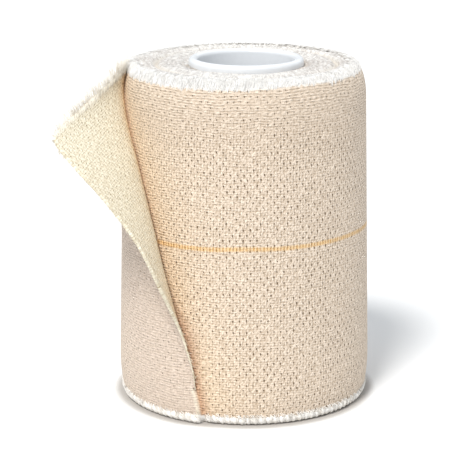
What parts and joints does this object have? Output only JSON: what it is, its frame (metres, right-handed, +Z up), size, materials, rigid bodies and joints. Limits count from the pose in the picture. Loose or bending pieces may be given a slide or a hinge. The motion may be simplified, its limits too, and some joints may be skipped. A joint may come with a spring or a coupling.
{
  "type": "elastic adhesive bandage roll",
  "caption": "Roll of elastic adhesive bandage on a plastic core, standing on end, with fluffy selvedges and its free end peeled back to show the adhesive side.",
  "frame": {"origin": "middle of the whole part's footprint on the surface that the roll stands on; the roll's own axis is 6.0 mm along +X and 1.1 mm along +Y from it, because the peeled end reaches out on the other side", "axes": "+Z up along the roll's axis, -Y towards the viewer, so the peeled end points to -X and -Y"},
  "size_m": [0.0676, 0.0586, 0.0755],
  "materials": {
    "core_plastic": "smooth moulded white plastic",
    "bandage_cloth": "matt open weave with pores, one ochre thread line round the middle",
    "adhesive_side": "the same weave with a tacky cream adhesive spread",
    "selvedge_tuft": "soft white cotton tufts"
  },
  "bodies": {
    "root": {"core": "core_plastic", "bandage_roll": "bandage_cloth", "free_end": "adhesive_side", "free_end_fringe": "selvedge_tuft", "selvedge_top": "selvedge_tuft", "selvedge_bottom": "selvedge_tuft"}
  },
  "joints": []
}
